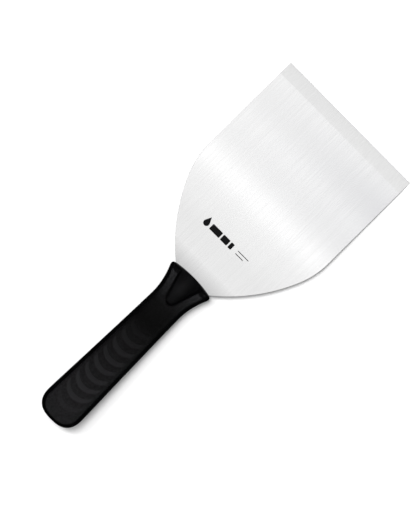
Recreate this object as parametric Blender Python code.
"""Ink knife: a wide steel blade with a ground edge, its tang locked in a moulded handle.

Metres, +Z up. The tool lies as it rests on a table, on its working edge and on the front of
the handle, so the blade slopes down to the edge. +X runs along the tool to the edge and +Y
across the blade. The origin is under the middle of the tool's box, on the table.

Every piece is drawn in the tool's own plan first: x = 0 at the front of the handle, the blade
ahead of it, the handle behind it, and z = 0 halfway through the steel. In the handle, u is the
distance back from its front. One empty then carries all pieces to the resting attitude.
"""

import math

import bmesh
import bpy
import numpy as np

GAP = 0.0003  # clearance between neighbouring pieces

# Blade: one sheet of steel
BLADE_WIDTH = 0.120
BLADE_REACH = 0.156  # front of the handle to the working edge
BLADE_THICKNESS = 0.0015
BEVEL_WIDTH = 0.0106  # ground strip on the upper face
HONED_WIDTH = 0.0016  # finer strip along the very edge
HONED_THICKNESS = 0.00048  # where the ground strip meets the finer one
EDGE_THICKNESS = 0.00025
SHOULDER_START = 0.0742  # the straight sides end this far ahead of the handle
SHOULDER_RADIUS = 0.0615
SHOULDER_TURN = math.radians(22.4)
SWEEP_RADIUS = 0.1331  # the long curve from the shoulder to the handle

# Tang: the tail of the same sheet, inside the handle
TANG_HALF_WIDTH = 0.008
TANG_END_RADIUS = 0.0065
TANG_LENGTH = 0.108
TANG_ROOT_FILLET = 0.004
KEYHOLE_RADIUS = 0.0035
KEYHOLES = (0.040, 0.068, 0.096)  # u of each hole that the handle's posts fill

# Handle body, plan view
HANDLE_LENGTH = 0.1428
FRONT_RADIUS = 0.094
CORNER_REACH = 0.0152  # the front arc runs this far out before the corner
CORNER_DEPTH = 0.0056  # and the corner ends this far back
FLARE_HALF_WIDTH = 0.0187
FLARE_START = 0.005
NECK_HALF_WIDTH = 0.0135
NECK = 0.028  # u of the narrowest place
BUTT_HALF_WIDTH = 0.0164
BUTT_START = 0.126
GRIP_POWER = 1.15  # 1 would make the grip's sides straight
BUTT_POWER = 2.6  # 2 would make the end an ellipse

# Handle body, thickness
NECK_HALF_HEIGHT = 0.0082
BUTT_HALF_HEIGHT = 0.0098
CREST_POWER = 1.5  # how late the crest rises towards the butt
ROUND_FRONT = 0.0062  # how far in from the outline the rounding reaches
ROUND_SIDE = 0.0065
ROUND_BUTT = 0.0095
ROUND_POWER = 2.4

# Thumb hollow at the front of the handle, above and below
HOLLOW_TIP = 0.0264
HOLLOW_TIP_RADIUS = 0.0047
HOLLOW_SPREAD = math.radians(17)
HOLLOW_FLOOR_FRONT = 0.0034
HOLLOW_FLOOR_TIP = 0.0066
HOLLOW_DISH = 0.72  # share of its depth by which the floor rises to its sides
HOLLOW_MOUTH = -0.004  # the cut for it starts ahead of the handle

# Grip panels: soft inlays, one above and one below
PANEL_FRONT = 0.0062
PANEL_INSET = 0.0030
PANEL_RIM = 0.0008  # strip of body left between a panel and the thumb hollow
PANEL_DEPTH = 0.0014  # how far a panel reaches below the body's crest
PANEL_PROUD = 0.00035
PANEL_CROWN = 0.0006  # fall from the middle to the side of the widest place
LUG_RADIUS = 0.003
LUG_LENGTH = 0.002
LUG_ROOT = 0.0004  # how far a lug's solid is sunk into its panel
LUGS = (0.054, 0.082, 0.110)  # u of the lugs that key a panel into the body

# Crescent ribs on the panels
RIB_COUNT = 10
RIB_LAST = 0.1298  # u of the rib nearest the butt
RIB_PITCH = 0.00907
RIB_WIDTH = 0.0039
RIB_RADIUS = 0.012
RIB_INNER_RADIUS = 0.0125
RIB_HALF_SPAN = 0.0102
RIB_HEIGHT = 0.00035
RIB_ROOT = 0.0004  # how far a rib is sunk into its panel

FAR = 0.016  # a height beyond the handle's surface, for cutters


# ---------------------------------------------------------------- shapes in plan


def arc(centre, radius, start, end, steps):
    """Points on a circle; the angles run anticlockwise from +X."""
    angles = np.linspace(start, end, steps + 1)
    return [(centre[0] + radius * math.cos(a), centre[1] + radius * math.sin(a)) for a in angles]


def mirrored(half):
    """Closes a half outline, which starts and ends at y = 0 or at an edge, across the X axis."""
    other = [(x, -y) for x, y in reversed(half) if y > 1e-7]
    return half + other


def blade_half_outline(grow):
    """The +Y half of the sheet, from the rear line of the ground strip to the end of the tang."""
    half_width = BLADE_WIDTH / 2
    turned = SHOULDER_TURN
    shoulder = (SHOULDER_START, half_width - SHOULDER_RADIUS)
    reach = SHOULDER_RADIUS - SWEEP_RADIUS
    sweep = (
        shoulder[0] - reach * math.sin(turned),
        shoulder[1] + reach * math.cos(turned),
    )
    root_y = TANG_HALF_WIDTH + TANG_ROOT_FILLET
    root_turn = math.acos((root_y - sweep[1]) / (SWEEP_RADIUS + TANG_ROOT_FILLET))
    root_x = sweep[0] - (SWEEP_RADIUS + TANG_ROOT_FILLET) * math.sin(root_turn)
    up = math.pi / 2
    points = [(BLADE_REACH - BEVEL_WIDTH, half_width + grow)]
    points += arc(shoulder, SHOULDER_RADIUS + grow, up, up + turned, 6)
    points += arc(sweep, SWEEP_RADIUS + grow, up + turned, up + root_turn, 16)[1:]
    points += arc((root_x, root_y), TANG_ROOT_FILLET - grow, root_turn - up, -up, 5)[1:]
    end_x = TANG_END_RADIUS - TANG_LENGTH
    points += arc((end_x, 0), TANG_END_RADIUS + grow, up, math.pi, 8)
    return points


def grip_half_width(u):
    """Half the handle's width behind its front corners, without the round butt."""
    if u < NECK:
        share = (NECK - u) / (NECK - FLARE_START)
        return NECK_HALF_WIDTH + (FLARE_HALF_WIDTH - NECK_HALF_WIDTH) * share**2
    share = (u - NECK) / (BUTT_START - NECK)
    return NECK_HALF_WIDTH + (BUTT_HALF_WIDTH - NECK_HALF_WIDTH) * share**GRIP_POWER


def butt_points(inset_side, inset_butt, steps):
    """(u, half width) round the butt, as a superellipse that ends on the axis."""
    points = []
    for a in np.linspace(0, math.pi / 2, steps + 1):
        along = math.sin(a) ** (2 / BUTT_POWER)
        across = max(math.cos(a), 0) ** (2 / BUTT_POWER)
        u = BUTT_START + (HANDLE_LENGTH - inset_butt - BUTT_START) * along
        points.append((u, (grip_half_width(u) - inset_side) * across))
    points[-1] = (points[-1][0], 0)
    return points


def handle_half_plan(inset_front, inset_side, inset_butt):
    """(u, half width) from the middle of the handle's front round to its butt."""
    corner_y = CORNER_REACH - inset_side
    corner_u = CORNER_DEPTH + inset_front
    points = []
    for y in np.linspace(0, corner_y, 6):
        points.append((inset_front + FRONT_RADIUS - math.sqrt(FRONT_RADIUS**2 - y**2), y))
    start = np.array(points[-1])
    end = np.array((corner_u, grip_half_width(corner_u) - inset_side))
    step = 1e-5
    slope = (grip_half_width(corner_u + step) - grip_half_width(corner_u)) / step
    run = np.array((corner_y / FRONT_RADIUS, 1.0))
    away = np.array((-1.0, -slope))
    reach = np.linalg.solve(np.column_stack((run, -away)), end - start)[0]
    control = start + run * reach
    for t in np.linspace(0, 1, 7)[1:]:
        points.append(tuple((1 - t) ** 2 * start + 2 * t * (1 - t) * control + t**2 * end))
    for u in np.concatenate((np.linspace(corner_u, NECK, 7)[1:], np.linspace(NECK, BUTT_START, 11)[1:])):
        points.append((u, grip_half_width(u) - inset_side))
    return points + butt_points(inset_side, inset_butt, 10)[1:]


def crest_height(u):
    """Half the body's thickness along its crest."""
    share = min(max((u - NECK) / (BUTT_START - NECK), 0), 1)
    return NECK_HALF_HEIGHT + (BUTT_HALF_HEIGHT - NECK_HALF_HEIGHT) * share**CREST_POWER


def hollow_half_width(u, grow=0.0):
    """Half the width of the thumb hollow, a triangle with a round tip."""
    centre = HOLLOW_TIP - HOLLOW_TIP_RADIUS
    radius = HOLLOW_TIP_RADIUS + grow
    tangent = centre + radius * math.sin(HOLLOW_SPREAD)
    if u <= tangent:
        return radius * math.cos(HOLLOW_SPREAD) + (tangent - u) * math.tan(HOLLOW_SPREAD)
    return math.sqrt(max(radius**2 - (u - centre) ** 2, 0))


def hollow_stations(front, grow, straight):
    """u values from front to the hollow's tip, closer together round the tip."""
    centre = HOLLOW_TIP - HOLLOW_TIP_RADIUS
    radius = HOLLOW_TIP_RADIUS + grow
    tangent = centre + radius * math.sin(HOLLOW_SPREAD)
    tip = [centre + radius * math.sin(a) for a in np.linspace(HOLLOW_SPREAD, math.pi / 2, 7)]
    return list(np.linspace(front, tangent, straight)) + tip[1:]


def panel_top(u, y):
    """Height of a panel's upper surface."""
    return crest_height(u) + PANEL_PROUD - PANEL_CROWN * (y / BUTT_HALF_WIDTH) ** 2


# ---------------------------------------------------------------- meshes


def material(name, colour, roughness, metallic=0.0):
    made = bpy.data.materials.new(name)
    made.use_nodes = True
    shader = made.node_tree.nodes["Principled BSDF"]
    shader.inputs["Base Color"].default_value = (*colour, 1)
    shader.inputs["Roughness"].default_value = roughness
    shader.inputs["Metallic"].default_value = metallic
    return made


def add_object(name, bm, parent, finish=None):
    """Turns a bmesh into an object; one with no material is a cutter or a helper."""
    bmesh.ops.remove_doubles(bm, verts=bm.verts[:], dist=1e-7)
    bmesh.ops.dissolve_degenerate(bm, dist=1e-7, edges=bm.edges[:])
    bmesh.ops.recalc_face_normals(bm, faces=bm.faces[:])
    mesh = bpy.data.meshes.new(name)
    bm.to_mesh(mesh)
    bm.free()
    made = bpy.data.objects.new(name, mesh)
    bpy.context.scene.collection.objects.link(made)
    made.parent = parent
    if finish is None:
        made.hide_render = True
        made.display_type = "WIRE"
    else:
        mesh.materials.append(finish)
        mesh.shade_smooth()
        mesh.set_sharp_from_angle(angle=math.radians(30))
    return made


def combine(target, other, operation):
    modifier = target.modifiers.new(f"{operation.lower()}_{other.name}", "BOOLEAN")
    modifier.operation = operation
    modifier.object = other


def thicken(bm, faces, bottom):
    """Closes a sheet of faces into a solid whose underside is at bottom(x, y)."""
    extruded = bmesh.ops.extrude_face_region(bm, geom=faces, use_keep_orig=True)
    for item in extruded["geom"]:
        if isinstance(item, bmesh.types.BMVert):
            item.co.z = bottom(item.co.x, item.co.y)


def add_cylinder(bm, x, radius, z_low, z_high, segments=24):
    """A closed upright cylinder on the tool's centreline."""
    ring = arc((x, 0), radius, 0, 2 * math.pi, segments)[:-1]
    top = bm.faces.new([bm.verts.new((px, py, z_high)) for px, py in ring])
    thicken(bm, [top], lambda px, py: z_low)


def sheet(grow, half_thickness, hole_radius, ground):
    """The whole steel sheet, or, grown by a clearance, the space that it needs."""
    def upper(x):
        if not ground:
            return half_thickness
        xs = (BLADE_REACH - BEVEL_WIDTH, BLADE_REACH - HONED_WIDTH, BLADE_REACH)
        heights = (half_thickness, HONED_THICKNESS - half_thickness, EDGE_THICKNESS - half_thickness)
        return float(np.interp(x, xs, heights))

    bm = bmesh.new()
    loops = [mirrored(blade_half_outline(grow))]
    loops += [arc((-u, 0), hole_radius, 0, 2 * math.pi, 24)[:-1] for u in KEYHOLES]
    for loop in loops:
        verts = [bm.verts.new((x, y, upper(x))) for x, y in loop]
        for i, vert in enumerate(verts):
            bm.edges.new((vert, verts[i - 1]))
    bmesh.ops.triangle_fill(bm, use_beauty=True, edges=bm.edges[:])
    side = BLADE_WIDTH / 2 + grow
    lines = (BLADE_REACH - BEVEL_WIDTH, BLADE_REACH - HONED_WIDTH, BLADE_REACH + grow)
    for back, front in zip(lines, lines[1:]):
        corners = ((back, -side), (front, -side), (front, side), (back, side))
        bm.faces.new([bm.verts.new((x, y, upper(x))) for x, y in corners])
    bmesh.ops.remove_doubles(bm, verts=bm.verts[:], dist=1e-7)
    thicken(bm, bm.faces[:], lambda x, y: -half_thickness)
    return bm


def body_blank():
    """The handle's rounded outer form, before anything is cut into it."""
    outer = handle_half_plan(0, 0, 0)
    inner = handle_half_plan(ROUND_FRONT, ROUND_SIDE, ROUND_BUTT)
    steps = 6
    bm = bmesh.new()
    rings = {}
    for level in range(-steps, steps + 1):
        a = (1 - abs(level) / steps) * math.pi / 2
        inward = 1 - math.sin(a) ** (2 / ROUND_POWER)
        rise = math.copysign(abs(math.cos(a)) ** (2 / ROUND_POWER), level) if level else 0.0
        half = []
        for (uo, yo), (ui, yi) in zip(outer, inner):
            u, y = uo + (ui - uo) * inward, yo + (yi - yo) * inward
            half.append((u, y, crest_height(ui) * rise))
        loop = half + [(u, -y, z) for u, y, z in reversed(half[1:-1])]
        rings[level] = [bm.verts.new((-u, y, z)) for u, y, z in loop]
    count = len(rings[0])
    for level in range(-steps, steps):
        low, high = rings[level], rings[level + 1]
        for i in range(count):
            bm.faces.new((low[i - 1], low[i], high[i], high[i - 1]))
    for ring in (rings[-steps], rings[steps]):
        for i in range(count // 2):
            far_side = ring[(count - i) % count], ring[count - i - 1]
            corners = dict.fromkeys((ring[i], ring[i + 1], far_side[1], far_side[0]))
            bm.faces.new(list(corners))
    return bm


def add_hollow(bm, side):
    """The space cut for the thumb: round at the back, dished, and open at the front."""
    stations = hollow_stations(HOLLOW_MOUTH, 0, 5)
    steps = 8
    rows = []
    for u in stations:
        half = max(hollow_half_width(u), 2e-5)
        share = u / HOLLOW_TIP
        middle = HOLLOW_FLOOR_FRONT + (HOLLOW_FLOOR_TIP - HOLLOW_FLOOR_FRONT) * share
        rise = HOLLOW_DISH * (crest_height(u) - middle)
        row = []
        for v in np.linspace(-1, 1, steps + 1):
            row.append(bm.verts.new((-u, half * v, side * (middle + rise * v**2))))
        rows.append(row)
    faces = []
    for near, far in zip(rows, rows[1:]):
        for j in range(steps):
            faces.append(bm.faces.new((near[j], near[j + 1], far[j + 1], far[j])))
    thicken(bm, faces, lambda x, y: side * FAR)


def panel_sheet(bm, grow, top):
    """The Y-shaped upper face of a panel: a long field with an arm each side of the hollow."""
    rim = PANEL_RIM - grow
    tip = HOLLOW_TIP + rim
    stations = hollow_stations(PANEL_FRONT - grow, rim, 5)
    stations += list(np.linspace(tip, BUTT_START, 15))[1:]
    columns = [(u, grip_half_width(u) - PANEL_INSET + grow) for u in stations]
    columns += butt_points(PANEL_INSET - grow, PANEL_INSET - grow, 8)[1:]
    steps = 3
    faces = []
    for sign in (1, -1):
        rows = []
        for u, outside in columns:
            inside = 0.0 if u >= tip else hollow_half_width(u, rim)
            ys = np.linspace(inside, outside, steps + 1)
            rows.append([bm.verts.new((-u, sign * y, top(u, y))) for y in ys])
        for near, far in zip(rows, rows[1:]):
            for j in range(steps):
                faces.append(bm.faces.new((near[j], near[j + 1], far[j + 1], far[j])))
    bmesh.ops.remove_doubles(bm, verts=bm.verts[:], dist=1e-7)
    bmesh.ops.dissolve_degenerate(bm, dist=1e-7, edges=bm.edges[:])


def panel_blank(side):
    bm = bmesh.new()
    panel_sheet(bm, 0, lambda u, y: side * panel_top(u, y))
    thicken(bm, bm.faces[:], lambda x, y: side * (crest_height(-x) - PANEL_DEPTH))
    return bm


def panel_pocket(side):
    """The space that a panel needs in the body."""
    bm = bmesh.new()
    panel_sheet(bm, GAP, lambda u, y: side * FAR)
    thicken(bm, bm.faces[:], lambda x, y: side * (crest_height(-x) - PANEL_DEPTH - GAP))
    return bm


def add_rib(bm, apex, side):
    """One crescent: a little thinner at its ends, bowed towards the butt."""
    steps = 10
    outer, inner = [], []
    for y in np.linspace(-RIB_HALF_SPAN, RIB_HALF_SPAN, steps + 1):
        outer.append((apex - RIB_RADIUS + math.sqrt(RIB_RADIUS**2 - y**2), y))
        hollow = RIB_INNER_RADIUS - math.sqrt(RIB_INNER_RADIUS**2 - y**2)
        inner.append((apex - RIB_WIDTH - hollow, y))
    rows = []
    for line in (outer, inner):
        rows.append([bm.verts.new((-u, y, side * (panel_top(u, y) + RIB_HEIGHT))) for u, y in line])
    faces = []
    for j in range(steps):
        faces.append(bm.faces.new((rows[0][j], rows[0][j + 1], rows[1][j + 1], rows[1][j])))
    thicken(bm, faces, lambda x, y: side * (panel_top(-x, y) - RIB_ROOT))


def panel_details(side):
    """The ribs above a panel and the lugs below it, as separate solids."""
    bm = bmesh.new()
    for k in range(RIB_COUNT):
        add_rib(bm, RIB_LAST - k * RIB_PITCH, side)
    for u in LUGS:
        base = crest_height(u) - PANEL_DEPTH
        add_cylinder(bm, -u, LUG_RADIUS, side * (base - LUG_LENGTH), side * (base + LUG_ROOT))
    return bm


# ---------------------------------------------------------------- pieces


def make_blade(parent, steel):
    half = BLADE_THICKNESS / 2
    return add_object("blade", sheet(0, half, KEYHOLE_RADIUS, True), parent, steel)


def make_handle_body(parent, plastic):
    body = add_object("handle_body", body_blank(), parent, plastic)
    tang_space = sheet(GAP, BLADE_THICKNESS / 2 + GAP, KEYHOLE_RADIUS - GAP, False)
    hollows = bmesh.new()
    lug_holes = bmesh.new()
    for side in (1, -1):
        add_hollow(hollows, side)
        for u in LUGS:
            base = crest_height(u) - PANEL_DEPTH
            deep = base - LUG_LENGTH - GAP
            add_cylinder(lug_holes, -u, LUG_RADIUS + GAP, side * deep, side * base)
    spaces = {
        "tang_space": tang_space,
        "thumb_hollows": hollows,
        "upper_pocket": panel_pocket(1),
        "lower_pocket": panel_pocket(-1),
        "lug_holes": lug_holes,
    }
    for name, bm in spaces.items():
        combine(body, add_object(name, bm, parent), "DIFFERENCE")
    return body


def make_panel(name, side, parent, rubber):
    panel = add_object(name, panel_blank(side), parent, rubber)
    details = add_object(f"{name}_details", panel_details(side), parent)
    combine(panel, details, "UNION")
    return panel


def points_of(piece):
    """The piece's corners in the world, with its modifiers."""
    graph = bpy.context.evaluated_depsgraph_get()
    evaluated = piece.evaluated_get(graph)
    return np.array([evaluated.matrix_world @ v.co for v in evaluated.data.vertices])


def lay_down(carrier, pieces):
    """Tips the tool onto its edge and its handle, and puts its box over the origin."""
    bpy.context.view_layer.update()
    points = np.concatenate([points_of(piece) for piece in pieces])
    behind = points[points[:, 0] < 0]
    edge_z = -BLADE_THICKNESS / 2
    slopes = (edge_z - behind[:, 2]) / (BLADE_REACH - behind[:, 0])
    carrier.rotation_euler.y = math.atan(slopes.max())
    bpy.context.view_layer.update()
    points = np.concatenate([points_of(piece) for piece in pieces])
    low, high = points.min(axis=0), points.max(axis=0)
    carrier.location = (-(low[0] + high[0]) / 2, -(low[1] + high[1]) / 2, -low[2])


def main():
    for old in list(bpy.data.objects):
        bpy.data.objects.remove(old)
    carrier = bpy.data.objects.new("resting_attitude", None)
    bpy.context.scene.collection.objects.link(carrier)
    steel = material("blade_steel", (0.80, 0.80, 0.81), 0.32, 1.0)
    plastic = material("handle_plastic", (0.008, 0.008, 0.009), 0.38)
    rubber = material("grip_rubber", (0.014, 0.014, 0.015), 0.62)
    pieces = [
        make_blade(carrier, steel),
        make_handle_body(carrier, plastic),
        make_panel("grip_panel_upper", 1, carrier, rubber),
        make_panel("grip_panel_lower", -1, carrier, rubber),
    ]
    lay_down(carrier, pieces)


main()
